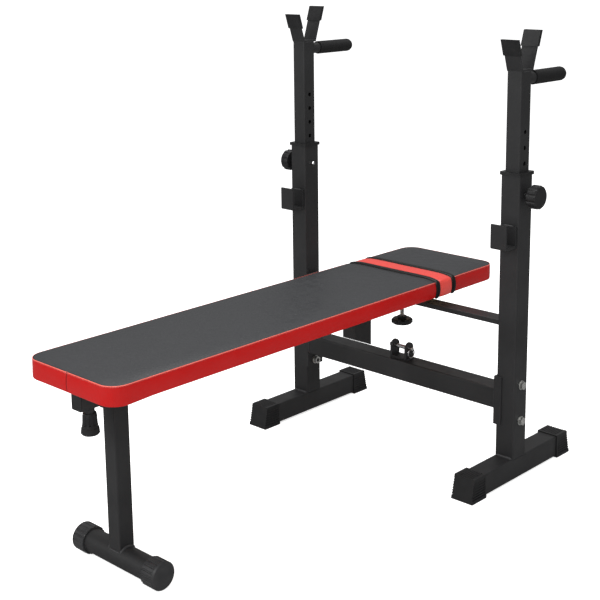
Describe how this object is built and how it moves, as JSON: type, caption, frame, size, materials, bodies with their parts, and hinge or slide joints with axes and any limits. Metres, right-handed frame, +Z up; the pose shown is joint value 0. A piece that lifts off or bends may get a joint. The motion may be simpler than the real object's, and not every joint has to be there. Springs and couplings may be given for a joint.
{
  "type": "flat weight bench with barbell rack",
  "caption": "Flat padded weight bench on a T-shaped front leg, joined to a two-post barbell rack with telescopic posts, bar cradles, bar hooks and dip handles.",
  "frame": {"origin": "on the floor, under the middle of the object's overall length and width; the centres of the uprights are at Y 0.387", "axes": "+X to the right of a person lying with the head at the rack, seen from the bench's front; +Y from the bench's front end towards the rack; +Z up"},
  "size_m": [0.77, 1.194, 1.0572],
  "materials": {
    "black_steel": "satin",
    "black_plastic": "matte",
    "black_rubber": "matte",
    "chrome": "polished",
    "zinc_steel": "satin",
    "spring_steel": "satin",
    "pad_cover": "satin",
    "plywood": "matte"
  },
  "bodies": {
    "rack_frame": {"bar_nut": "zinc_steel", "beam_bolts": "zinc_steel", "beam_nuts": "zinc_steel", "beam_washers": "zinc_steel", "bench_saddle": "black_steel", "clevis_bracket": "black_steel", "cross_beam": "black_steel", "front_foot_left_cap": "black_plastic", "front_foot_right_cap": "black_plastic", "front_foot_tube": "black_steel", "front_leg": "black_steel", "left_bar_hook": "black_steel", "left_beam_flange": "black_steel", "left_collar": "black_plastic", "left_foot_tube": "black_steel", "left_front_foot_cap": "black_plastic", "left_rear_foot_cap": "black_plastic", "left_upright": "black_steel", "leg_bolts": "zinc_steel", "leg_nuts": "zinc_steel", "leg_plate": "black_steel", "main_tube": "black_steel", "main_tube_plugs": "black_plastic", "pad_board": "plywood", "pad_cushion": "pad_cover", "pad_plates": "black_steel", "pad_screws": "zinc_steel", "plunger_housing": "black_steel", "plunger_spring": "spring_steel", "rear_lug": "black_steel", "right_bar_hook": "black_steel", "right_beam_flange": "black_steel", "right_collar": "black_plastic", "right_foot_tube": "black_steel", "right_front_foot_cap": "black_plastic", "right_rear_foot_cap": "black_plastic", "right_upright": "black_steel", "support_bar": "black_steel"},
    "left_post": {"left_post": "black_steel", "left_post_glide": "black_plastic", "left_cradle": "black_steel", "left_cradle_sleeves": "black_plastic", "left_handle_bar": "black_steel", "left_handle_grip": "black_rubber"},
    "right_post": {"right_post": "black_steel", "right_post_glide": "black_plastic", "right_cradle": "black_steel", "right_cradle_sleeves": "black_plastic", "right_handle_bar": "black_steel", "right_handle_grip": "black_rubber"},
    "left_lock": {"left_lock_knob": "black_plastic", "left_lock_pin": "chrome"},
    "right_lock": {"right_lock_knob": "black_plastic", "right_lock_pin": "chrome"},
    "clamp": {"star_knob": "black_plastic", "clamp_screw": "chrome"},
    "clevis_pin": {"clevis_pin": "chrome"},
    "clevis_ring": {"clevis_ring": "chrome"},
    "receiver_lock": {"cone_knob": "black_plastic", "plunger_pin": "chrome"}
  },
  "joints": [
    {"name": "left_post_slide", "type": "slide", "parent": "rack_frame", "child": "left_post", "axis": [0, 0, 1], "range_m": [-0.14, 0.07]},
    {"name": "right_post_slide", "type": "slide", "parent": "rack_frame", "child": "right_post", "axis": [0, 0, 1], "range_m": [-0.105, 0.105]},
    {"name": "left_lock_pull", "type": "slide", "parent": "rack_frame", "child": "left_lock", "axis": [-1, 0, 0], "range_m": [0, 0.06]},
    {"name": "right_lock_pull", "type": "slide", "parent": "rack_frame", "child": "right_lock", "axis": [1, 0, 0], "range_m": [0, 0.06]},
    {"name": "clamp_turn", "type": "hinge", "parent": "rack_frame", "child": "clamp", "pos_m": [0, 0.387, 0.308], "axis": [0, 0, 1], "continuous": true},
    {"name": "clevis_pin_pull", "type": "slide", "parent": "rack_frame", "child": "clevis_pin", "axis": [1, 0, 0], "range_m": [0, 0.06]},
    {"name": "clevis_ring_swing", "type": "hinge", "parent": "clevis_pin", "child": "clevis_ring", "pos_m": [0.0295, 0.387, 0.241], "axis": [0, 1, 0], "range_deg": [-85, 0]},
    {"name": "receiver_lock_pull", "type": "slide", "parent": "rack_frame", "child": "receiver_lock", "axis": [0, 0, -1], "range_m": [0, 0.012], "stiffness_N_per_m": 900, "springref_m": -0.006, "deforming": ["plunger_spring"]}
  ]
}
